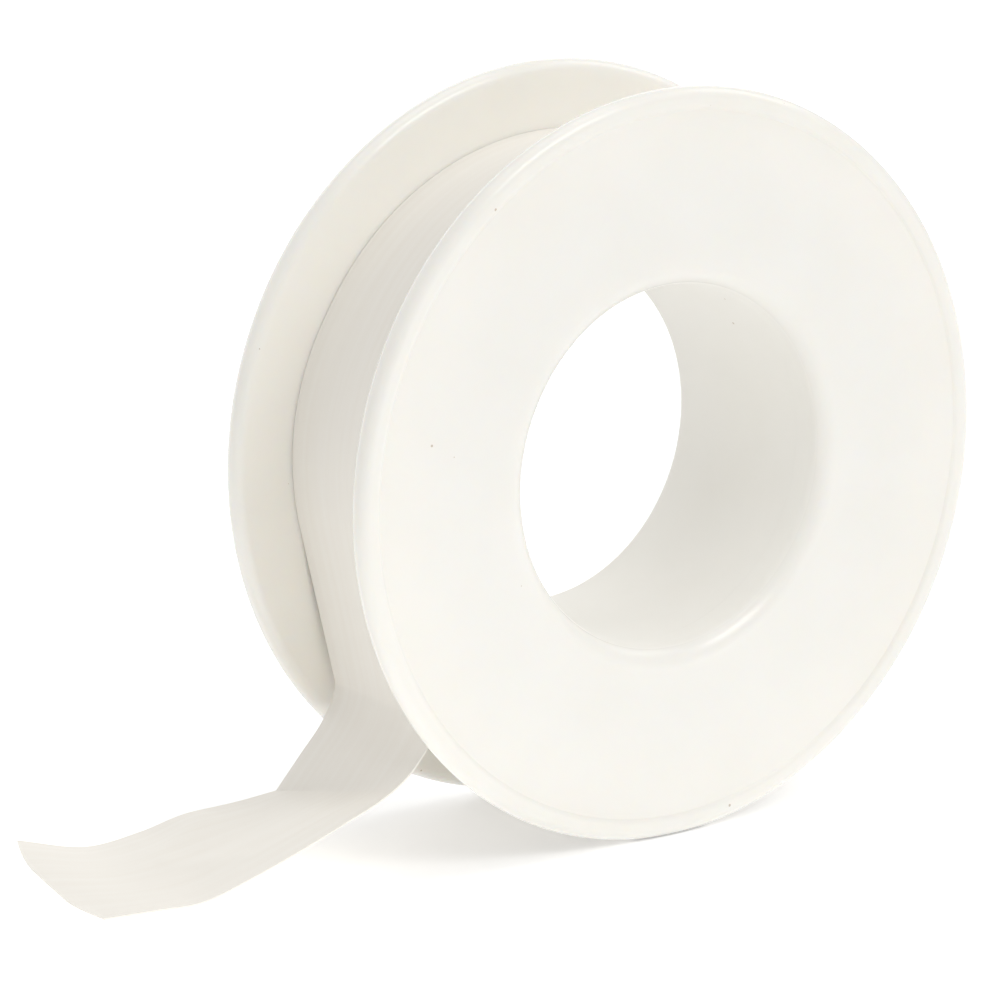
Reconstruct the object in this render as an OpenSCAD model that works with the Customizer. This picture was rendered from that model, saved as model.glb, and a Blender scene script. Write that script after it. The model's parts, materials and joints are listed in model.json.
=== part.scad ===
// Thread seal tape roll: thin white tape on a spool of two mouldings that snap together.
// Sizes are in millimetres. The spool's axis is Y, with +Y towards the rear flange, Z is up,
// and the origin is the middle of the bore. The roll stands on its rims, at z = -flange_r.

/* [Flanges] */
// Radius of both flanges
flange_r = 25; // [24:0.5:28]
// Thickness of a flange's flat web
web_t = 1.35; // [0.9:0.05:1.5]
// Height of the rim bead above the web's outer face
bead_rise = 0.15; // [0.1:0.05:0.4]
// Width of the flat land on top of the rim bead
bead_land = 0.3; // [0.1:0.1:1]
// Radius of the hollow fillet between the web and the rim bead
bead_fillet = 0.15; // [0.1:0.05:0.6]
// Radius of the rounded mouth of the bore
lip_round = 1.4; // [0.6:0.1:1.8]

/* [Hub] */
// Radius of the bore
bore_r = 12; // [10:0.25:13]
// Wall of the spigot, the rear half's tube
spigot_wall = 1; // [0.8:0.1:1.3]
// Wall of the sleeve, the front half's tube, which carries the tape
sleeve_wall = 1.1; // [0.9:0.1:1.5]
// Clearance where the two halves plug together, and between the hub and the wound tape
fit_clearance = 0.1; // [0.06:0.01:0.15]
// Length of the front half's land in the bore, behind the rounded mouth
land_l = 1.3; // [0.8:0.1:3]
// Radius of the snap ring's section
snap_r = 0.35; // [0.3:0.05:0.45]
// Height of the snap ring above the spigot
snap_rise = 0.25; // [0.2:0.05:0.3]
// Distance from the spigot's end to the middle of the snap ring
snap_setback = 1.6; // [1:0.1:4]
// Chamfer that leads the spigot into the sleeve
lead_in = 0.4; // [0.2:0.1:0.5]

/* [Tape] */
// Width of the tape
tape_w = 12; // [10:0.5:19]
// Gap between the tape and each flange
side_gap = 0.5; // [0.3:0.1:1]
// Radius of the wound roll, under its outer turn
roll_r = 20; // [18:0.25:21]
// Thickness of the tape
film_t = 0.1; // [0.08:0.02:0.2]
// Clearance between the roll and its outer turn
turn_clearance = 0.1; // [0.05:0.05:0.3]

/* [Tail] */
// Angle about the spool's axis at which the tail leaves the roll
peel_angle = 192; // [188:1:196]
// Length of tape that runs straight off the roll
straight_run = 9; // [8:0.5:10]
// Distance along the ground from the end of the straight run to the tail's free corner
tail_reach = 22.6; // [18:0.2:27]
// How far the middle of the free end bulges past its two corners
end_bulge = 1.2; // [0.4:0.1:2]
// Angle that the outer turn leaves bare, between its inner end and the peel
bare_angle = 16; // [14:1:30]

/* [Hidden] */
$fn = 96;

// How far a cut runs past what it cuts
overrun = 0.2;

// Distances along the axis from the middle of the spool to a flange's inner and outer face
inner_h = tape_w / 2 + side_gap;
face_h = inner_h + web_t;
// The rim bead is flush with the inner face, and rounds the rim fully
bead_r = (web_t + bead_rise) / 2;
bead_mid_h = inner_h + bead_r;
rim_mid_r = flange_r - bead_r;
bead_flank_r = rim_mid_r - bead_land;
// Middle of the fillet that touches both the web's face and the bead's inner flank,
// and the lean of the line from there to the middle of the flank
right_angle = 90;
fillet_h = face_h + bead_fillet;
lean = asin((fillet_h - bead_mid_h) / (bead_r + bead_fillet));
fillet_mid_r = bead_flank_r - (bead_r + bead_fillet) * cos(lean);
fillet_steps = 5;
flank_steps = 10;

// Hub radii, from the bore outwards
spigot_r = bore_r + spigot_wall;
sleeve_in_r = spigot_r + fit_clearance;
hub_r = sleeve_in_r + sleeve_wall;
// Where the two halves meet inside the bore, and where the spigot and the sleeve end
seam_h = face_h - lip_round - land_l;
spigot_end_h = seam_h - fit_clearance;
sleeve_end_h = inner_h - fit_clearance;
snap_h = spigot_end_h - snap_setback;
snap_mid_r = spigot_r + snap_rise - snap_r;

// The outer turn: a loop of straight steps that keeps clear of the roll at the middle of each step
loop_steps = 24;
full_turn = 360;
turn_steps = ceil(loop_steps * (full_turn - bare_angle) / full_turn);
turn_step_angle = (full_turn - bare_angle) / turn_steps;
turn_start_angle = peel_angle + bare_angle;

// The tail's two edges behind its straight run, from the roll to the free end, as shares:
// outwards of the reach, along the axis of the tape's width, and down of the drop to the ground.
// Rear edge first, then front edge.
tail_shares = [
    [[-0.015, 0.50, 0.18], [0.005, -0.50, 0.20]],
    [[0.03, 0.50, 0.35], [0.08, -0.49, 0.39]],
    [[0.105, 0.51, 0.52], [0.17, -0.47, 0.51]],
    [[0.185, 0.54, 0.71], [0.285, -0.44, 0.61]],
    [[0.305, 0.58, 0.74], [0.415, -0.40, 0.72]],
    [[0.45, 0.64, 0.78], [0.56, -0.34, 0.84]],
    [[0.595, 0.70, 0.85], [0.705, -0.28, 0.94]],
    [[0.76, 0.76, 0.89], [0.845, -0.23, 0.95]],
    [[0.97, 0.80, 0.79], [1.0, -0.19, 0.95]]
];
// Where the bulge's flat middle starts and stops, as shares of the free end from its rear corner
end_shares = [0.43, 0.75];
// Steps of the straight run, and of the curve between two neighbouring shares
run_steps = 6;
tail_steps = 3;

plastic = "#F3F1EB";
tape_white = "#E9E5DD";

// Points of an arc in a section, from one angle to another
function arc(mid, radius, from, to, steps) = [for (i = [0 : steps])
    let (angle = from + (to - from) * i / steps) mid + radius * [cos(angle), sin(angle)]];

// Sections are drawn as radius and distance along the axis, with a flange's outer face up

// A flange's web, the fillet, and the inner flank and land of its rim bead
module flange_section() {
    polygon(concat(
        [[bore_r, inner_h], [bore_r, face_h]],
        arc([fillet_mid_r, fillet_h], bead_fillet, -right_angle, -lean, fillet_steps),
        arc([bead_flank_r, bead_mid_h], bead_r, 2 * right_angle - lean, right_angle, flank_steps),
        [[rim_mid_r, bead_mid_h + bead_r], [rim_mid_r, inner_h]]
    ));
}

// What both halves share: the flange with its rounded rim
module flange() {
    rotate_extrude() flange_section();
    rotate_extrude() translate([rim_mid_r, bead_mid_h]) circle(bead_r);
}

// What the rounded mouth takes off the corner between the face and the bore
module mouth_cut() {
    rotate_extrude() difference() {
        translate([bore_r - overrun, face_h - lip_round])
            square([lip_round + overrun, lip_round + overrun]);
        translate([bore_r + lip_round, face_h - lip_round]) circle(lip_round);
    }
}

// Front moulding: flange, short land in the bore, and the sleeve with its snap groove
module front_spool_half() {
    color(plastic) rotate([right_angle, 0, 0]) difference() {
        union() {
            flange();
            rotate_extrude() translate([bore_r, seam_h]) square([hub_r - bore_r, face_h - seam_h]);
            rotate_extrude() translate([sleeve_in_r, -sleeve_end_h])
                square([sleeve_wall, sleeve_end_h + face_h]);
        }
        mouth_cut();
        rotate_extrude() translate([snap_mid_r, snap_h]) circle(snap_r + fit_clearance);
    }
}

// Rear moulding: flange and the spigot that lines the bore, with its snap ring
module rear_spool_half() {
    color(plastic) rotate([-right_angle, 0, 0]) difference() {
        union() {
            flange();
            rotate_extrude() polygon([
                [bore_r, -spigot_end_h], [spigot_r - lead_in, -spigot_end_h],
                [spigot_r, lead_in - spigot_end_h], [spigot_r, face_h], [bore_r, face_h]
            ]);
            rotate_extrude() translate([snap_mid_r, -snap_h]) circle(snap_r);
        }
        mouth_cut();
    }
}

// The tape's film: unit vectors at an angle about the spool's axis, and the way to an edge
function across_axis(angle) = [cos(angle), 0, sin(angle)];
function along_turn(angle) = [-sin(angle), 0, cos(angle)];
function unit(v) = v / norm(v);
function side(hand) = [0, hand * tape_w / 2, 0];

// Radius of the middle of the film, which grows by one thickness over the whole turn
function turn_r(share) =
    (roll_r + turn_clearance) / cos(turn_step_angle / 2) + film_t * (share + 1 / 2);

// A ring holds the strip's four corners at one place, from its two edges and its outward normal
function ring(rear, front, out) = [
    rear - out * film_t / 2, rear + out * film_t / 2,
    front + out * film_t / 2, front - out * film_t / 2
];

function turn_ring(i) =
    let (angle = turn_start_angle + i * turn_step_angle,
         mid = turn_r(i / turn_steps) * across_axis(angle))
    ring(mid + side(1), mid + side(-1), across_axis(angle));

turn_rings = [for (i = [0 : turn_steps]) turn_ring(i)];

// The two edges of the tail: a straight run off the roll, then a smooth curve through the shares
peel_point = turn_r(1) * across_axis(peel_angle);
run_end = peel_point + straight_run * along_turn(peel_angle);
tail_drop = flange_r + run_end[2];

function share_point(s) = run_end + [-s[0] * tail_reach, s[1] * tape_w, -s[2] * tail_drop];
function edge_knots(edge, hand) = concat(
    [peel_point + side(hand), run_end + side(hand)],
    [for (s = tail_shares) share_point(s[edge])]
);

// Smooth curve from knot b to knot c, between their neighbours a and d
function curve(a, b, c, d, t) =
    b + ((c - a) * t + (2 * a - 5 * b + 4 * c - d) * t * t + (3 * (b - c) - a + d) * t * t * t) / 2;
function knot(k, i) = i < len(k) ? k[i] : 2 * k[len(k) - 1] - k[len(k) - 2];
function smooth_edge(k) = concat(
    [for (j = [0 : run_steps - 1]) k[0] + (k[1] - k[0]) * j / run_steps],
    [for (i = [1 : len(k) - 2], j = [0 : tail_steps - 1])
        curve(k[i - 1], k[i], k[i + 1], knot(k, i + 2), j / tail_steps)],
    [k[len(k) - 1]]
);

rear_edge = smooth_edge(edge_knots(0, 1));
front_edge = smooth_edge(edge_knots(1, -1));
tail_last = len(rear_edge) - 1;

// The film's outward side at ring i of the tail
function tail_out(i) =
    let (before = max(i - 1, 0), after = min(i + 1, tail_last),
         along = rear_edge[after] + front_edge[after] - rear_edge[before] - front_edge[before])
    unit(cross(rear_edge[i] - front_edge[i], along));

// The free end: its outward side, the way off the end, and a point on the bulge's flat middle
end_out = tail_out(tail_last);
end_across = front_edge[tail_last] - rear_edge[tail_last];
end_off = unit(cross(end_across, end_out));
function end_point(share) = rear_edge[tail_last] + share * end_across + end_bulge * end_off;

tail_rings = concat(
    [for (i = [0 : tail_last]) ring(rear_edge[i], front_edge[i], tail_out(i))],
    [ring(end_point(end_shares[0]), end_point(end_shares[1]), end_out)]
);

// One closed film through all the rings, in triangles. Each twisted step of the film's two faces
// is split along the same diagonal, so that the faces stay one thickness apart.
module strip(rings) {
    last = 4 * (len(rings) - 1);
    walls = [for (i = [0 : 4 : last - 4], k = [0 : 3])
        let (a = i + k, b = i + (k + 1) % 4)
        each k == 3 ? [[a, a + 4, b], [a + 4, b + 4, b]] : [[a, a + 4, b + 4], [a, b + 4, b]]];
    ends = [[0, 1, 2], [0, 2, 3], [last + 2, last + 1, last], [last + 3, last + 2, last]];
    polyhedron([for (r = rings) each r], concat(walls, ends));
}

// The wound turns below the outer one, as a plain ring on the hub
module tape_roll() {
    color(tape_white) rotate([right_angle, 0, 0]) rotate_extrude()
        translate([hub_r + fit_clearance, -tape_w / 2])
            square([roll_r - hub_r - fit_clearance, tape_w]);
}

// The outermost turn, which ends where the tail leaves the roll
module tape_outer_turn() {
    color(tape_white) strip(turn_rings);
}

// The free end: straight off the roll, bent outwards, creased, and laid along the ground
module tape_tail() {
    color(tape_white) strip(tail_rings);
}

// Least gap of the tape to itself: from the outer turn's inner end, whose outer corners
// the leaving tape passes, to the inner corners of the tail
function path_length(p, i) = i >= len(p) - 1 ? 0 : norm(p[i + 1] - p[i]) + path_length(p, i + 1);
end_corners = [for (r = [turn_rings[0], turn_rings[1]], k = [1, 2]) r[k]];
tail_corners = [for (r = tail_rings, k = [0, 3]) r[k]];
least_gap = min([for (a = end_corners, b = tail_corners) norm(a - b)]);
echo(least_gap = least_gap, tail_length = path_length(rear_edge, 0));

front_spool_half();
rear_spool_half();
tape_roll();
tape_outer_turn();
tape_tail();
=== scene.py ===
# %% [markdown]
# # A thread seal tape roll
# The object is a white plastic spool, moulded in two halves that snap together, with thin white
# sealing tape wound on it and the tape's free end drawn off to one side. The sizes come from a
# packed construction model, which is loaded first and never moved. Each lesson below makes one
# finish or one piece over that model, in metres, with the spool's axis along Y and Z up.

# %% The fixed frame
import json
import math

import bmesh
import bpy
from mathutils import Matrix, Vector


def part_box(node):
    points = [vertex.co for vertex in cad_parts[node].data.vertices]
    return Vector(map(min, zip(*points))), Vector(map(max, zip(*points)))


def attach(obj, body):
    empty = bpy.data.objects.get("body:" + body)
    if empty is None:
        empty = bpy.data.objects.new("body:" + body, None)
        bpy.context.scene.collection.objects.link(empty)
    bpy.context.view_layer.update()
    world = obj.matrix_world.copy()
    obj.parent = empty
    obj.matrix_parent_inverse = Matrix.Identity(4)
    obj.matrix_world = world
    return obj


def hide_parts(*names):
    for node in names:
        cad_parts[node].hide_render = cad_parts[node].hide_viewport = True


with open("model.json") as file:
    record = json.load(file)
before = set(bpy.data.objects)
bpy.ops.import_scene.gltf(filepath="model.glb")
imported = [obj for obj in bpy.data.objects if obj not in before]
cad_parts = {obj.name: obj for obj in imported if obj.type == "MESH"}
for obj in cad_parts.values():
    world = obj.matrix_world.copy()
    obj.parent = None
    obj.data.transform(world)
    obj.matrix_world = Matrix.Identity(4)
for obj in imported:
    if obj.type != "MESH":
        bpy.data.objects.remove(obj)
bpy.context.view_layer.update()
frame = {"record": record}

MM = 0.001
mounts = {mount["name"]: mount for mount in frame["record"]["mounts"]}
flange_low, flange_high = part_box("front_spool_half")
roll_low, roll_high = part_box("tape_roll")

FLANGE_R = flange_high.x
RIM_H = -flange_low.y
GROUND_Z = flange_low.z
BORE_R = mounts["bore"]["dims"]["r_mm"] * MM
ROLL_R = roll_high.x
TAPE_W = roll_high.y - roll_low.y
print(f"flange radius {FLANGE_R / MM:.2f} mm, bore {BORE_R / MM:.2f} mm, tape {TAPE_W / MM:.2f} mm wide")

# %% [markdown]
# ## The camera
# A photograph of a small object is usually taken with a long lens from about a forearm's length.
# The camera is placed by two angles and a distance, and then slid sideways and up in its own
# plane, so that the object sits where it should in the frame without any lens shift.

# %% Camera
VIEW_TURN = math.radians(35.57)
VIEW_TILT = math.radians(13.73)
VIEW_DISTANCE = 327.4 * MM
VIEW_SLIDE = 7.05 * MM
VIEW_RISE = 3.55 * MM
SENSOR_MM = 36.0
LENS_MM = 177.57

look = Vector((
    math.sin(VIEW_TURN) * math.cos(VIEW_TILT),
    math.cos(VIEW_TURN) * math.cos(VIEW_TILT),
    -math.sin(VIEW_TILT),
))
view_right = Vector((math.cos(VIEW_TURN), -math.sin(VIEW_TURN), 0))
view_up = view_right.cross(look)

camera = bpy.data.objects.new("camera", bpy.data.cameras.new("camera"))
camera.data.sensor_width = SENSOR_MM
camera.data.lens = LENS_MM
camera.data.clip_start = 10 * MM
camera.location = -VIEW_DISTANCE * look - VIEW_SLIDE * view_right - VIEW_RISE * view_up
camera.rotation_mode = "QUATERNION"
camera.rotation_quaternion = look.to_track_quat("-Z", "Y")
bpy.context.scene.collection.objects.link(camera)
bpy.context.scene.camera = camera
bpy.context.scene.view_settings.view_transform = "Standard"
print("camera at", [round(x / MM, 1) for x in camera.location], "mm")

# %% [markdown]
# ## Nodes and colours
# Materials and shape rules are both node trees, so one small function adds a node to either, sets
# its options and fills its sockets with plain values or with links. Colours are written as the
# eye reads them on a screen, and one function turns them to the linear values that light adds in.


# %% One function for nodes, one for colours
def add_node(tree, kind, sockets=None, **settings):
    node = tree.nodes.new(kind)
    for name, value in settings.items():
        setattr(node, name, value)
    for key, value in (sockets or {}).items():
        if isinstance(value, bpy.types.NodeSocket):
            tree.links.new(value, node.inputs[key])
        else:
            node.inputs[key].default_value = value
    return node


def colour(code):
    values = [int(code[i:i + 2], 16) / 255 for i in (1, 3, 5)]
    linear = [v / 12.92 if v <= 0.04045 else ((v + 0.055) / 1.055) ** 2.4 for v in values]
    return (*linear, 1)


def new_material(name):
    material = bpy.data.materials.new(name)
    material.use_nodes = True
    material.node_tree.nodes.clear()
    return material, material.node_tree


# %% [markdown]
# ## Moulded polyethylene
# The spool is natural white polyethylene, injection moulded. It is waxy: light goes a little way
# in and comes out again, so edges glow and shadows are soft, and the polished mould leaves a soft
# gloss. The pin that forms the bore is less polished, so the bore's wall is matte, and it glows
# less, because little light reaches the plastic behind it. The melt is never quite even, which
# gives a faint cloudiness, and cheap white plastic carries a few tiny brown specks. A Principled
# shader with subsurface scattering gives the wax, the distance from the axis tells the bore's wall
# from the rest, noise gives the clouds, and a Voronoi pattern gives the specks: each of its points
# is a tiny ball, and the surface cuts through only a few of them.

# %% Moulded polyethylene
PE_WHITE = "#F7F5F0"
PE_CLOUD = "#F2F0E9"
PE_SPECK = "#D0C6B6"
PE_IOR = 1.51
PE_ROUGH = (0.20, 0.28)
PE_DEPTH = 1.1 * MM
PE_SPREAD = (1.0, 0.85, 0.65)
PE_GLOW = 0.4
BORE_GLOW = 0.03
BORE_ROUGH = 0.55
# Glow and gloss reach their full value this far outside the bore's wall.
GLOW_START = 0.6 * MM
GLOSS_START = 0.2 * MM
CLOUD_SIZE = 7 * MM
SPECK_SPACING = 2.4 * MM
SPECK_R = 0.11 * MM
SKIN_SIZE = 0.55 * MM
SKIN_RISE = 0.02 * MM
SKIN_SHARE = 0.05


def moulded_polyethylene():
    material, tree = new_material("moulded_polyethylene")
    place = add_node(tree, "ShaderNodeTexCoord").outputs["Object"]
    clouds = add_node(tree, "ShaderNodeTexNoise", {
        "Vector": place, "Scale": 1 / CLOUD_SIZE, "Detail": 3.0})
    body = add_node(tree, "ShaderNodeMix", {
        "Factor": clouds.outputs["Fac"], 6: colour(PE_WHITE), 7: colour(PE_CLOUD)}, data_type="RGBA")
    cells = add_node(tree, "ShaderNodeTexVoronoi", {"Vector": place, "Scale": 1 / SPECK_SPACING})
    chance = add_node(tree, "ShaderNodeSeparateColor", {"Color": cells.outputs["Color"]})
    size = add_node(tree, "ShaderNodeMath", {
        0: chance.outputs["Red"], 1: SPECK_R / SPECK_SPACING}, operation="MULTIPLY")
    inside = add_node(tree, "ShaderNodeMath", {
        0: cells.outputs["Distance"], 1: size.outputs[0]}, operation="LESS_THAN")
    specks = add_node(tree, "ShaderNodeMix", {
        "Factor": inside.outputs[0], 6: body.outputs[2], 7: colour(PE_SPECK)}, data_type="RGBA")
    flat = add_node(tree, "ShaderNodeVectorMath", {0: place, 1: (1.0, 0.0, 1.0)}, operation="MULTIPLY")
    radius = add_node(tree, "ShaderNodeVectorMath", {0: flat.outputs[0]}, operation="LENGTH")
    glow = add_node(tree, "ShaderNodeMapRange", {
        "Value": radius.outputs["Value"], "From Min": BORE_R, "From Max": BORE_R + GLOW_START,
        "To Min": BORE_GLOW, "To Max": PE_GLOW})
    skin = add_node(tree, "ShaderNodeTexNoise", {"Vector": place, "Scale": 1 / SKIN_SIZE, "Detail": 2.0})
    gloss = add_node(tree, "ShaderNodeMapRange", {
        "Value": clouds.outputs["Fac"], "To Min": PE_ROUGH[0], "To Max": PE_ROUGH[1]})
    roughness = add_node(tree, "ShaderNodeMapRange", {
        "Value": radius.outputs["Value"], "From Min": BORE_R, "From Max": BORE_R + GLOSS_START,
        "To Min": BORE_ROUGH, "To Max": gloss.outputs[0]})
    bump = add_node(tree, "ShaderNodeBump", {
        "Height": skin.outputs["Fac"], "Strength": SKIN_SHARE, "Distance": SKIN_RISE})
    shader = add_node(tree, "ShaderNodeBsdfPrincipled", {
        "Base Color": specks.outputs[2],
        "Roughness": roughness.outputs[0],
        "Normal": bump.outputs[0],
        "IOR": PE_IOR,
        "Subsurface Weight": glow.outputs[0],
        "Subsurface Radius": PE_SPREAD,
        "Subsurface Scale": PE_DEPTH,
    })
    add_node(tree, "ShaderNodeOutputMaterial", {"Surface": shader.outputs[0]})
    return material


polyethylene = moulded_polyethylene()
print(polyethylene.name, "has", len(polyethylene.node_tree.nodes), "nodes")

# %% [markdown]
# ## Sealing tape
# Thread seal tape is soft unsintered film, a tenth of a millimetre thick. It is drawn out
# lengthwise when it is made, so it carries faint streaks along its length, and its surface is
# matte with a silky sheen. The streaks follow the tape, so the pattern reads the film's own UV map,
# whose first axis runs along the tape and whose second runs across it, both in metres.

# %% Sealing tape
FILM_WHITE = "#F8F5EE"
FILM_STREAK = "#F2EDE4"
FILM_IOR = 1.38
FILM_ROUGH = (0.42, 0.55)
STREAK_W = 0.5 * MM
STREAK_L = 14 * MM
STREAK_RISE = 0.02 * MM
STREAK_SHARE = 0.1


def sealing_tape():
    material, tree = new_material("sealing_tape")
    along = add_node(tree, "ShaderNodeUVMap", uv_map="along_tape").outputs["UV"]
    stretched = add_node(tree, "ShaderNodeMapping", {
        "Vector": along, "Scale": (1 / STREAK_L, 1 / STREAK_W, 1.0)})
    streaks = add_node(tree, "ShaderNodeTexNoise", {
        "Vector": stretched.outputs[0], "Scale": 1.0, "Detail": 3.0})
    body = add_node(tree, "ShaderNodeMix", {
        "Factor": streaks.outputs["Fac"], 6: colour(FILM_WHITE), 7: colour(FILM_STREAK)},
        data_type="RGBA")
    gloss = add_node(tree, "ShaderNodeMapRange", {
        "Value": streaks.outputs["Fac"], "To Min": FILM_ROUGH[0], "To Max": FILM_ROUGH[1]})
    bump = add_node(tree, "ShaderNodeBump", {
        "Height": streaks.outputs["Fac"], "Strength": STREAK_SHARE, "Distance": STREAK_RISE})
    shader = add_node(tree, "ShaderNodeBsdfPrincipled", {
        "Base Color": body.outputs[2],
        "Roughness": gloss.outputs[0],
        "Normal": bump.outputs[0],
        "IOR": FILM_IOR,
    })
    add_node(tree, "ShaderNodeOutputMaterial", {"Surface": shader.outputs[0]})
    return material


film = sealing_tape()
print(film.name, "has", len(film.node_tree.nodes), "nodes")

# %% [markdown]
# ## Turning a section round an axis
# Both spool halves are turned shapes: one closed section goes once round the axis. A modifier
# tree does that here: it makes the section's edge loop a curve and sweeps it along a circle. The
# result is then copied to a plain mesh and the modifier is taken off, so that what rides on the
# frame is ordinary geometry.


# %% A tree's inputs, and a plain mesh from a tree
def new_tree(name, inputs):
    tree = bpy.data.node_groups.new(name, "GeometryNodeTree")
    tree.interface.new_socket("Geometry", in_out="INPUT", socket_type="NodeSocketGeometry")
    for label, kind in inputs.items():
        tree.interface.new_socket(label, in_out="INPUT", socket_type=kind)
    tree.interface.new_socket("Geometry", in_out="OUTPUT", socket_type="NodeSocketGeometry")
    return tree, add_node(tree, "NodeGroupInput").outputs


def plain_piece(name, base, tree, values):
    piece = bpy.data.objects.new(name, base)
    bpy.context.scene.collection.objects.link(piece)
    modifier = piece.modifiers.new("shape", "NODES")
    modifier.node_group = tree
    for item in tree.interface.items_tree:
        if item.in_out == "INPUT" and item.name in values:
            modifier[item.identifier] = values[item.name]
    shaped = piece.evaluated_get(bpy.context.evaluated_depsgraph_get())
    mesh = bpy.data.meshes.new_from_object(shaped)
    piece.modifiers.remove(modifier)
    piece.data = mesh
    mesh.name = name
    print(name, len(mesh.polygons), "faces")
    return piece


QUARTER_TURN = math.radians(90)


def turning_tree():
    tree, given = new_tree("turn_section", {
        "Path radius": "NodeSocketFloat", "Steps": "NodeSocketInt", "Finish": "NodeSocketMaterial"})
    section = add_node(tree, "GeometryNodeMeshToCurve", {"Mesh": given["Geometry"]})
    path = add_node(tree, "GeometryNodeCurvePrimitiveCircle", {
        "Resolution": given["Steps"], "Radius": given["Path radius"]})
    swept = add_node(tree, "GeometryNodeCurveToMesh", {
        "Curve": path.outputs["Curve"], "Profile Curve": section.outputs["Curve"]})
    upright = add_node(tree, "GeometryNodeTransform", {
        "Geometry": swept.outputs["Mesh"], "Rotation": (QUARTER_TURN, 0.0, 0.0)})
    smooth = add_node(tree, "GeometryNodeSetShadeSmooth", {"Geometry": upright.outputs["Geometry"]})
    real = add_node(tree, "GeometryNodeRealizeInstances", {"Geometry": smooth.outputs["Geometry"]})
    finished = add_node(tree, "GeometryNodeSetMaterial", {
        "Geometry": real.outputs["Geometry"], "Material": given["Finish"]})
    add_node(tree, "NodeGroupOutput", {"Geometry": finished.outputs["Geometry"]})
    return tree


# %% [markdown]
# ## The two spool halves
# Each half is a flange with a rounded, slightly raised rim and a bull-nosed mouth to the bore. The
# front half also has the sleeve that the tape is wound on, and the rear half the spigot that
# plugs into it and snaps home. The sections are drawn as radius and distance from the middle of
# the spool, with round stretches as arcs, and every corner gets a small round, because a mould
# has no perfectly sharp edge and the round is what catches the light.

# %% Sections of the two halves
WEB_T = 1.35 * MM
BEAD_RISE = 0.15 * MM
BEAD_LAND = 0.3 * MM
BEAD_FILLET = 0.15 * MM
LIP_ROUND = 1.4 * MM
REAR_LIP_ROUND = 0.6 * MM
SPIGOT_WALL = 1.0 * MM
SLEEVE_WALL = 1.1 * MM
FIT_GAP = 0.1 * MM
SEAM_GAP = 0.005 * MM
SEAM_ROUND = 0.01 * MM
LAND_L = 1.3 * MM
SNAP_R = 0.35 * MM
SNAP_RISE = 0.25 * MM
SNAP_SETBACK = 1.6 * MM
LEAD_IN = 0.4 * MM
CORNER_ROUND = 0.12 * MM
ROUND_STEPS = 4
ARC_STEPS = 8
TURN_STEPS = 240
SUPPORT = 0.01 * MM
LONG_STRETCH = 0.4 * MM

face_h = RIM_H - BEAD_RISE
inner_h = face_h - WEB_T
bead_r = (WEB_T + BEAD_RISE) / 2
bead_mid_h = inner_h + bead_r
rim_mid_r = FLANGE_R - bead_r
flank_mid_r = rim_mid_r - BEAD_LAND
fillet_h = face_h + BEAD_FILLET
lean = math.asin((fillet_h - bead_mid_h) / (bead_r + BEAD_FILLET))
fillet_mid_r = flank_mid_r - (bead_r + BEAD_FILLET) * math.cos(lean)
spigot_r = BORE_R + SPIGOT_WALL
sleeve_in_r = spigot_r + FIT_GAP
hub_r = sleeve_in_r + SLEEVE_WALL
seam_h = face_h - LIP_ROUND - LAND_L
spigot_end_h = seam_h - SEAM_GAP
sleeve_end_h = inner_h - FIT_GAP
snap_h = spigot_end_h - SNAP_SETBACK
snap_mid_r = spigot_r + SNAP_RISE - SNAP_R


def arc(mid, radius, start, end, steps=ARC_STEPS):
    angles = [start + (end - start) * i / steps for i in range(steps + 1)]
    return [(mid[0] + radius * math.cos(a), mid[1] + radius * math.sin(a)) for a in angles]


def rounded(before, corner, after, radius=CORNER_ROUND):
    """The corner's points, drawn as a short curve that starts and ends one radius away."""
    corner, before, after = Vector(corner), Vector(before), Vector(after)
    start = corner + (before - corner).normalized() * radius
    end = corner + (after - corner).normalized() * radius
    steps = [i / ROUND_STEPS for i in range(ROUND_STEPS + 1)]
    return [tuple((1 - t) ** 2 * start + 2 * t * (1 - t) * corner + t * t * end) for t in steps]


def flange_line(lip_round):
    """From the bore's rounded mouth over the face and round the rim to the inner face."""
    mouth = arc((BORE_R + lip_round, face_h - lip_round), lip_round, math.pi, math.pi / 2)
    hollow = arc((fillet_mid_r, fillet_h), BEAD_FILLET, -math.pi / 2, -lean)
    flank = arc((flank_mid_r, bead_mid_h), bead_r, math.pi - lean, math.pi / 2)
    rim = arc((rim_mid_r, bead_mid_h), bead_r, math.pi / 2, -math.pi / 2, 2 * ARC_STEPS)
    return mouth + hollow + flank[1:] + rim


def snap_line(side, height, radius, direction):
    """A round bump or groove in a straight wall at the given radius, drawn up or down."""
    half = math.acos((side - snap_mid_r) / radius)
    return arc((snap_mid_r, height), radius, -direction * half, direction * half)


def front_section():
    root, tip = (hub_r, inner_h), (hub_r, -sleeve_end_h)
    tip_in, seam_out = (sleeve_in_r, -sleeve_end_h), (sleeve_in_r, seam_h)
    seam_in = (BORE_R, seam_h)
    mouth = (BORE_R, face_h - LIP_ROUND)
    return (flange_line(LIP_ROUND) + rounded((rim_mid_r, inner_h), root, tip)
            + rounded(root, tip, tip_in) + rounded(tip, tip_in, seam_out)
            + snap_line(sleeve_in_r, snap_h, SNAP_R + FIT_GAP, 1)
            + [seam_out] + rounded(seam_out, seam_in, mouth, SEAM_ROUND))


def rear_section():
    root, shoulder = (spigot_r, inner_h), (spigot_r, LEAD_IN - spigot_end_h)
    end_out, end_in = (spigot_r - LEAD_IN, -spigot_end_h), (BORE_R, -spigot_end_h)
    mouth = (BORE_R, face_h - REAR_LIP_ROUND)
    return (flange_line(REAR_LIP_ROUND) + rounded((rim_mid_r, inner_h), root, shoulder)
            + snap_line(spigot_r, -snap_h, SNAP_R, -1) + [shoulder, end_out]
            + rounded(end_out, end_in, mouth, SEAM_ROUND))


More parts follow.
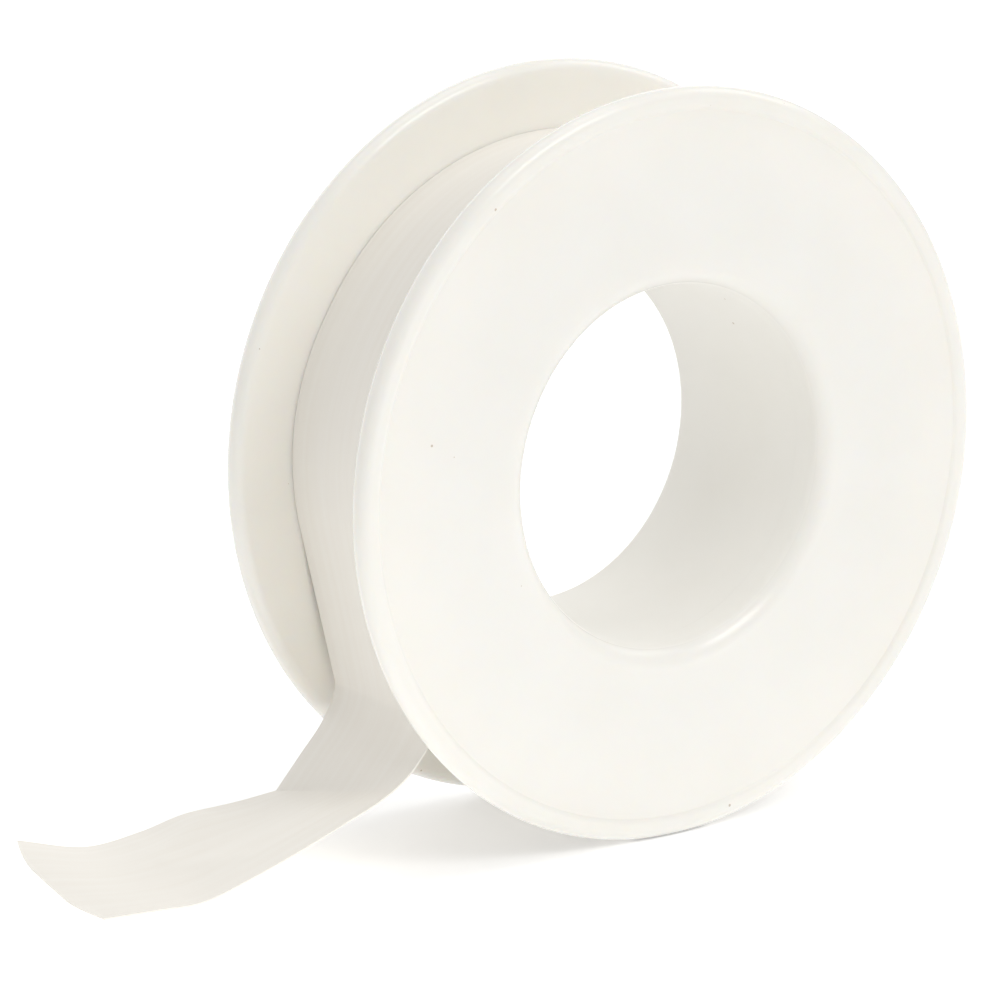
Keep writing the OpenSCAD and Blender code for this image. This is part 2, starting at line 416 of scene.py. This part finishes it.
def supported(section):
    """The section with an extra point just inside both ends of each long straight stretch."""
    points = []
    for start, end in zip(section, section[1:] + section[:1]):
        start, end = Vector(start), Vector(end)
        points.append(tuple(start))
        if (end - start).length > LONG_STRETCH:
            inward = (end - start).normalized() * SUPPORT
            points += [tuple(start + inward), tuple(end - inward)]
    return points


# %% The two halves
turn_section = turning_tree()


def spool_half(name, section, outward):
    points = [(r - FLANGE_R, outward * h, 0) for r, h in supported(section)]
    count = len(points)
    loop = bpy.data.meshes.new(name + "_section")
    loop.from_pydata(points, [(i, (i + 1) % count) for i in range(count)], [])
    return plain_piece(name, loop, turn_section, {
        "Path radius": FLANGE_R, "Steps": TURN_STEPS, "Finish": polyethylene})


front_half = spool_half("front_spool", front_section(), -1)
rear_half = spool_half("rear_spool", rear_section(), 1)

# %% [markdown]
# ## The wound tape
# Under the outer turn the roll is one long strip in a tight spiral, about fifty-seven turns of it.
# A spiral curve with a flat rectangle swept along it gives every turn, and a slow noise along the
# length lets the edges wander a little to either side, as hand-fed winding does. The tree also
# stores how far along and across the tape each corner lies, for the film's streaks.

# %% The wound tape
FILM_T = 0.1 * MM
FILM_DRAWN_T = 0.09 * MM
WOUND_STEPS = 72
WANDER = 0.18 * MM
WANDER_L = 60 * MM
WANDER_SEED = 4.0
TAPE_LEAN = 0.4 * MM
OUTER_LEAN = 0.46 * MM
PEEL_ANGLE = math.radians(192)
BARE_ANGLE = math.radians(16)
wound_in_r = hub_r + FIT_GAP
wound_turns = round((ROLL_R - wound_in_r) / FILM_T)
outer_start = PEEL_ANGLE + BARE_ANGLE


def winding_tree():
    tree, given = new_tree("wind_tape", {
        "Inner radius": "NodeSocketFloat", "Outer radius": "NodeSocketFloat",
        "Turns": "NodeSocketFloat", "Steps": "NodeSocketInt", "Film": "NodeSocketFloat",
        "Width": "NodeSocketFloat", "Wander": "NodeSocketFloat", "Wander length": "NodeSocketFloat",
        "Seed": "NodeSocketFloat", "Lean": "NodeSocketVector", "Turned by": "NodeSocketVector",
        "Finish": "NodeSocketMaterial"})
    spiral = add_node(tree, "GeometryNodeCurveSpiral", {
        "Resolution": given["Steps"], "Rotations": given["Turns"], "Start Radius": given["Inner radius"],
        "End Radius": given["Outer radius"], "Height": 0.0, "Reverse": True})
    length = add_node(tree, "GeometryNodeSplineParameter").outputs["Length"]
    scaled = add_node(tree, "ShaderNodeMath", {0: length, 1: given["Wander length"]}, operation="DIVIDE")
    seeded = add_node(tree, "ShaderNodeMath", {0: scaled.outputs[0], 1: given["Seed"]}, operation="ADD")
    noise = add_node(tree, "ShaderNodeTexNoise", {
        "W": seeded.outputs[0], "Scale": 1.0}, noise_dimensions="1D")
    centred = add_node(tree, "ShaderNodeMath", {0: noise.outputs["Fac"], 1: 0.5}, operation="SUBTRACT")
    aside = add_node(tree, "ShaderNodeMath", {
        0: centred.outputs[0], 1: given["Wander"]}, operation="MULTIPLY")
    offset = add_node(tree, "ShaderNodeCombineXYZ", {"Z": aside.outputs[0]})
    wandering = add_node(tree, "GeometryNodeSetPosition", {
        "Geometry": spiral.outputs["Curve"], "Offset": offset.outputs[0]})
    kept = add_node(tree, "GeometryNodeCaptureAttribute", {"Geometry": wandering.outputs["Geometry"]})
    kept.capture_items.new("FLOAT", "along")
    tree.links.new(length, kept.inputs["along"])
    strip = add_node(tree, "GeometryNodeCurvePrimitiveQuadrilateral", {
        "Width": given["Film"], "Height": given["Width"]})
    wound = add_node(tree, "GeometryNodeCurveToMesh", {
        "Curve": kept.outputs["Geometry"], "Profile Curve": strip.outputs["Curve"], "Fill Caps": True})
    across = add_node(tree, "ShaderNodeSeparateXYZ", {
        "Vector": add_node(tree, "GeometryNodeInputPosition").outputs[0]})
    place = add_node(tree, "ShaderNodeCombineXYZ", {"X": kept.outputs["along"], "Y": across.outputs["Z"]})
    mapped = add_node(tree, "GeometryNodeStoreNamedAttribute", {
        "Geometry": wound.outputs["Mesh"], "Name": "along_tape", "Value": place.outputs[0]},
        data_type="FLOAT2", domain="CORNER")
    turned = add_node(tree, "GeometryNodeTransform", {
        "Geometry": mapped.outputs["Geometry"], "Translation": given["Lean"],
        "Rotation": given["Turned by"]})
    real = add_node(tree, "GeometryNodeRealizeInstances", {"Geometry": turned.outputs["Geometry"]})
    finished = add_node(tree, "GeometryNodeSetMaterial", {
        "Geometry": real.outputs["Geometry"], "Material": given["Finish"]})
    add_node(tree, "NodeGroupOutput", {"Geometry": finished.outputs["Geometry"]})
    return tree


wound_tape = plain_piece("wound_tape", bpy.data.meshes.new("empty"), winding_tree(), {
    "Inner radius": wound_in_r + FILM_T / 2, "Outer radius": ROLL_R - FILM_T / 2,
    "Turns": float(wound_turns), "Steps": WOUND_STEPS, "Film": FILM_DRAWN_T, "Width": TAPE_W,
    "Wander": WANDER, "Wander length": WANDER_L, "Seed": WANDER_SEED,
    "Lean": (0.0, TAPE_LEAN, 0.0), "Turned by": (QUARTER_TURN, -outer_start, 0.0), "Finish": film})

# %% [markdown]
# ## The drawn tape
# The outer turn and the free tail are one strip of film. It goes once round the roll, leaves it
# in a straight run, bends outwards, is creased across and then lies along the ground with its end
# curled up. The strip is drawn as a sheet: its two long edges follow smooth curves through
# listed shares of the tail's reach, width and drop, and points between the edges are lifted a
# little where the film is rumpled. Where the strip is wound, its edge by the rear flange is flared
# by a hair, as rubbing on the flange does, so that the edge catches light.

# %% The drawn tape's edges
STRAIGHT_RUN = 9 * MM
TAIL_REACH = 22.6 * MM
END_BULGE = 1.2 * MM
PEEL_R = 20.42 * MM
OUTER_START_R = 20.16 * MM
TURN_ROWS = 150
RUN_ROWS = 12
PAIR_ROWS = 10
END_ROWS = 3
COLUMNS = 30
EDGE_SHARE = 0.015
SHARES = [0.0, EDGE_SHARE] + [i / COLUMNS for i in range(1, COLUMNS + 1)]
EDGE_FLARE = 0.07 * MM
FLARE_FADE = 15
LOOSE = 0.2 * MM
LOOSE_SHARE = 0.12

TAIL_SHARES = [
    [(-0.015, 0.50, 0.18), (0.005, -0.50, 0.20)],
    [(0.03, 0.50, 0.35), (0.08, -0.49, 0.39)],
    [(0.105, 0.51, 0.52), (0.17, -0.47, 0.51)],
    [(0.18, 0.54, 0.71), (0.285, -0.44, 0.61)],
    [(0.305, 0.58, 0.74), (0.415, -0.40, 0.72)],
    [(0.45, 0.64, 0.78), (0.56, -0.34, 0.84)],
    [(0.595, 0.70, 0.85), (0.705, -0.28, 0.94)],
    [(0.76, 0.76, 0.89), (0.845, -0.23, 0.95)],
    [(0.97, 0.80, 0.79), (1.0, -0.19, 0.95)],
]
END_SHARES = (0.43, 0.75)
REAR_CORNER = 5
ROW_PAIRS = [
    (1, 1), (2, 2), (3, 2.55), (4, 3.0), (5, 3.5), (5.5, 4.4),
    (6, 5.3), (7, 6.65), (8, 8), (9, 9), (10, 10)]
CREASE_ROW = 4


def on_circle(radius, angle, y=0.0):
    return Vector((radius * math.cos(angle), y, radius * math.sin(angle)))


peel = on_circle(PEEL_R, PEEL_ANGLE, OUTER_LEAN)
run_way = Vector((-math.sin(PEEL_ANGLE), 0, math.cos(PEEL_ANGLE)))
run_end = on_circle(PEEL_R, PEEL_ANGLE) + STRAIGHT_RUN * run_way
tail_drop = run_end.z - GROUND_Z


def share_point(share):
    out, along_axis, down = share
    return run_end + Vector((-out * TAIL_REACH, along_axis * TAPE_W, -down * tail_drop))


def smooth_point(a, b, c, d, t):
    """A point on the smooth curve from b to c, between their neighbours a and d."""
    return b + ((c - a) * t + (2 * a - 5 * b + 4 * c - d) * t ** 2 + (3 * (b - c) - a + d) * t ** 3) / 2


def tail_edge(edge, aside, corner=None):
    """A function for one long edge: 0 is the peel, 1 the run's end, and then each share in turn."""
    knots = [peel + aside, run_end + aside] + [share_point(pair[edge]) for pair in TAIL_SHARES]
    knots.append(2 * knots[-1] - knots[-2])

    def point(at):
        i = min(int(at), len(knots) - 3)
        before, start, end, after = knots[i - 1:i + 3]
        if i == corner:
            before = 2 * start - end
        if i + 1 == corner:
            after = 2 * end - start
        return smooth_point(before, start, end, after, at - i)

    return point


half_across = Vector((0, TAPE_W / 2, 0))
rear_at = tail_edge(0, half_across, REAR_CORNER)
front_at = tail_edge(1, -half_across)

# %% The drawn tape's rows


def edge_rows():
    """The rear and front ends of every row: round the roll, down the straight run, along the tail."""
    rows = []
    for i in range(TURN_ROWS):
        share = i / TURN_ROWS
        slack = max(0.0, (share - 1 + LOOSE_SHARE) / LOOSE_SHARE)
        radius = OUTER_START_R + (PEEL_R - OUTER_START_R) * share + LOOSE * math.sin(math.pi * slack)
        middle = on_circle(radius, outer_start + (2 * math.pi - BARE_ANGLE) * share, OUTER_LEAN)
        rows.append((middle + half_across, middle - half_across))
    for i in range(RUN_ROWS):
        middle = peel.lerp(run_end, i / RUN_ROWS)
        rows.append((middle + half_across, middle - half_across))
    for (rear, front), (next_rear, next_front) in zip(ROW_PAIRS, ROW_PAIRS[1:]):
        for i in range(PAIR_ROWS):
            share = i / PAIR_ROWS
            rear_knot = rear + (next_rear - rear) * share
            front_knot = front + (next_front - front) * share
            rows.append((rear_at(rear_knot), front_at(front_knot)))
    rows.append((rear_at(ROW_PAIRS[-1][0]), front_at(ROW_PAIRS[-1][1])))
    return rows


drawn_edges = edge_rows()

# %% The drawn tape's folds
# Each fold is a line on the flat tape, given by the distance past the straight run and the distance
# from the rear edge, and then its height and its half width.
CREASE_DEPTH = 0.25 * MM
CREASE_HALF = 2.6 * MM
CREASE_ROUND = 0.25 * MM
CREASE_SKEW = 1.8
FOLDS = [
    ((16.0, 1.5), (20.2, 4.2), 0.12, 1.0),
    ((17.4, 2.0), (21.0, 5.0), 0.22, 2.6),
    ((11.5, 2.5), (15.5, 7.0), -0.12, 2.2),
    ((22.5, 1.5), (23.6, 3.2), 0.08, 1.3),
    ((21.2, 0.8), (21.2, 2.2), 0.03, 0.25),
    ((9.2, 10.2), (16.7, 9.0), 0.06, 0.6),
    ((16.7, 9.0), (20.6, 5.4), 0.06, 0.6),
]


def fold_height(along, across):
    """How far the folds lift the film at a place on the flat tape."""
    place = Vector((along, across)) / MM
    height = 0.0
    for start, end, rise, half in FOLDS:
        start, end = Vector(start), Vector(end)
        share = (place - start).dot(end - start) / (end - start).length_squared
        nearest = start.lerp(end, min(max(share, 0.0), 1.0))
        height += rise * MM * math.exp(-((place - nearest).length / half) ** 2)
    return height


def end_rise(share):
    """How far the free end bulges past its corners, at a share of the width from the rear."""
    start, stop = END_SHARES
    if share < start:
        return END_BULGE * math.sin(share / start * math.pi / 2)
    if share > stop:
        return END_BULGE * math.sin((1 - share) / (1 - stop) * math.pi / 2)
    return END_BULGE


# %% The drawn tape's sheet
SAME_POINT = 0.001 * MM


def drawn_rows():
    rows = [[rear.lerp(front, s) for s in SHARES] for rear, front in drawn_edges]
    off = (rows[-1][0] - rows[-2][0] + rows[-1][-1] - rows[-2][-1]).normalized()
    last = rows[-1]
    for i in range(1, END_ROWS + 1):
        rows.append([p + off * end_rise(s) * i / END_ROWS for p, s in zip(last, SHARES)])
    return rows


def row_lengths(rows):
    middle = len(SHARES) // 2
    lengths = [0.0]
    for before, after in zip(rows, rows[1:]):
        lengths.append(lengths[-1] + (after[middle] - before[middle]).length)
    return lengths


def folded(rows, lengths):
    """The rows with the edge flared, the crease pressed in and the folds raised, square to the film."""
    first = TURN_ROWS + RUN_ROWS
    crease_at = lengths[first + CREASE_ROW * PAIR_ROWS] - lengths[first]
    shaped = [list(row) for row in rows]
    for r in range(1, len(rows) - 1):
        along = lengths[r] - lengths[first]
        nearness = max(0.0, 1 - math.hypot(along - crease_at, CREASE_ROUND) / CREASE_HALF)
        flare = EDGE_FLARE * min(1.0, max(0.0, (TURN_ROWS - r) / FLARE_FADE))
        for c, share in enumerate(SHARES):
            forward = rows[r + 1][c] - rows[r - 1][c]
            sideways = rows[r][min(c + 1, len(SHARES) - 1)] - rows[r][max(c - 1, 0)]
            outward = forward.cross(sideways).normalized()
            lift = flare * max(0.0, 1 - share / EDGE_SHARE)
            if r >= first:
                press = CREASE_DEPTH * nearness * math.sin(math.pi * share ** CREASE_SKEW)
                lift = fold_height(along, share * TAPE_W) - press
            shaped[r][c] = rows[r][c] + outward * lift
    return shaped


def drawn_sheet():
    rows = drawn_rows()
    lengths = row_lengths(rows)
    rows = folded(rows, lengths)
    mesh = bpy.data.meshes.new("drawn_tape")
    wide = len(SHARES)
    faces = [(r * wide + c, r * wide + c + 1, (r + 1) * wide + c + 1, (r + 1) * wide + c)
             for r in range(len(rows) - 1) for c in range(wide - 1)]
    mesh.from_pydata([p for row in rows for p in row], [], faces)
    places = [(along, share * TAPE_W) for along in lengths for share in SHARES]
    uv = mesh.uv_layers.new(name="along_tape")
    for loop in mesh.loops:
        uv.data[loop.index].uv = places[loop.vertex_index]
    joined = bmesh.new()
    joined.from_mesh(mesh)
    bmesh.ops.remove_doubles(joined, verts=joined.verts, dist=SAME_POINT)
    joined.to_mesh(mesh)
    joined.free()
    return mesh


SHARP_ANGLE = math.radians(35)
drawn_tape = bpy.data.objects.new("drawn_tape", drawn_sheet())
bpy.context.scene.collection.objects.link(drawn_tape)
thick = drawn_tape.modifiers.new("film", "SOLIDIFY")
thick.thickness = FILM_T
thick.offset = 0.0
drawn_tape.data = bpy.data.meshes.new_from_object(
    drawn_tape.evaluated_get(bpy.context.evaluated_depsgraph_get()))
drawn_tape.modifiers.remove(thick)
drawn_tape.data.materials.clear()
drawn_tape.data.materials.append(film)
drawn_tape.data.shade_smooth()
drawn_tape.data.set_sharp_from_angle(angle=SHARP_ANGLE)
print("drawn_tape", len(drawn_tape.data.polygons), "faces")

# %% [markdown]
# ## Floor and light
# The roll stands on a plain white sweep in a white room. A key light stands in front, high and a
# little to the right, with a weaker one at the right side, a wide pale wall of light behind and a
# soft light overhead. A white table also throws light back up at what stands on it, so two faint
# patches of light lie on the sweep. The sweep and the room are shown as white to the camera without
# more light on the roll, and the sweep keeps the roll's shadow.

# %% The white sweep
FLOOR_HALF = 1.5
FLOOR_WHITE = "#F7F7F7"
FLOOR_GLOW = 0.3


def white_sweep():
    material, tree = new_material("white_sweep")
    matte = add_node(tree, "ShaderNodeBsdfDiffuse", {"Color": colour(FLOOR_WHITE)})
    glow = add_node(tree, "ShaderNodeEmission", {"Color": (1, 1, 1, 1), "Strength": FLOOR_GLOW})
    rays = add_node(tree, "ShaderNodeLightPath")
    seen = add_node(tree, "ShaderNodeMath", {
        0: rays.outputs["Is Camera Ray"], 1: rays.outputs["Is Glossy Ray"]}, operation="MAXIMUM")
    both = add_node(tree, "ShaderNodeAddShader", {0: matte.outputs[0], 1: glow.outputs[0]})
    mixed = add_node(tree, "ShaderNodeMixShader", {
        0: seen.outputs[0], 1: matte.outputs[0], 2: both.outputs[0]})
    add_node(tree, "ShaderNodeOutputMaterial", {"Surface": mixed.outputs[0]})
    return material


floor_mesh = bpy.data.meshes.new("floor")
floor_mesh.from_pydata(
    [(x * FLOOR_HALF, y * FLOOR_HALF, GROUND_Z) for x, y in ((-1, -1), (1, -1), (1, 1), (-1, 1))],
    [], [(0, 1, 2, 3)])
floor_mesh.materials.append(white_sweep())
floor = bpy.data.objects.new("floor", floor_mesh)
bpy.context.scene.collection.objects.link(floor)

# %% The white room
ROOM_LIGHT = 0.5


def white_room():
    world = bpy.data.worlds.new("white_room")
    world.use_nodes = True
    tree = world.node_tree
    tree.nodes.clear()
    rays = add_node(tree, "ShaderNodeLightPath")
    seen = add_node(tree, "ShaderNodeMath", {
        0: rays.outputs["Is Camera Ray"], 1: rays.outputs["Is Transmission Ray"]}, operation="MAXIMUM")
    level = add_node(tree, "ShaderNodeMapRange", {
        "Value": seen.outputs[0], "To Min": ROOM_LIGHT, "To Max": 1.0})
    walls = add_node(tree, "ShaderNodeBackground", {
        "Color": (1, 1, 1, 1), "Strength": level.outputs[0]})
    add_node(tree, "ShaderNodeOutputWorld", {"Surface": walls.outputs[0]})
    bpy.context.scene.world = world


white_room()

# %% Lamps
LAMP_DISTANCE = 0.8


def soft_box(name, turn, height, size, watts):
    """A square lamp aimed at the middle of the roll, turned from the front and raised, in degrees."""
    turn, height = math.radians(turn), math.radians(height)
    flat_way = Vector((math.sin(turn), -math.cos(turn), 0)) * math.cos(height)
    way = flat_way + Vector((0, 0, math.sin(height)))
    lamp = bpy.data.lights.new(name, "AREA")
    lamp.shape = "SQUARE"
    lamp.size = size
    lamp.energy = watts
    holder = bpy.data.objects.new(name, lamp)
    holder.location = LAMP_DISTANCE * way
    holder.rotation_mode = "QUATERNION"
    holder.rotation_quaternion = (-way).to_track_quat("-Z", "Y")
    bpy.context.scene.collection.objects.link(holder)
    return holder


for lamp in (
    ("front_key", 15, 42, 0.35, 1.7),
    ("right_side", 80, 40, 0.35, 0.64),
    ("back_wall_left", 205, 15, 0.75, 1.3),
    ("back_wall_right", 155, 15, 0.75, 1.3),
    ("overhead", 0, 90, 0.6, 1.5),
):
    soft_box(*lamp)

# %% Light from the table
TABLE_LIFT = 0.2 * MM


def table_glow(name, x, y, size, watts):
    """A faint round patch of lit table that shines up at the roll and isn't seen itself."""
    patch = soft_box(name, 0, 90, size, watts)
    patch.data.shape = "DISK"
    patch.location = (x, y, GROUND_Z + TABLE_LIFT)
    patch.rotation_quaternion = Vector((0, 0, 1)).to_track_quat("-Z", "Y")
    patch.visible_camera = False


table_glow("table_left", -60 * MM, -10 * MM, 80 * MM, 0.0048)
table_glow("table_front", -20 * MM, -50 * MM, 120 * MM, 0.0073)
print(len(bpy.data.lights), "lamps")

# %% [markdown]
# ## Riding on the frame
# Every piece says which body it moves with, which part of the construction model it stands for and
# which finish of the record it takes.

# %% Riding on the frame
for piece, body, stands_for, finish in (
    (front_half, "spool", ["front_spool_half"], "spool_plastic"),
    (rear_half, "spool", ["rear_spool_half"], "spool_plastic"),
    (wound_tape, "spool", ["tape_roll"], "tape_film"),
    (drawn_tape, "tape_end", ["tape_outer_turn", "tape_tail"], "tape_film"),
):
    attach(piece, body)
    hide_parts(*stands_for)
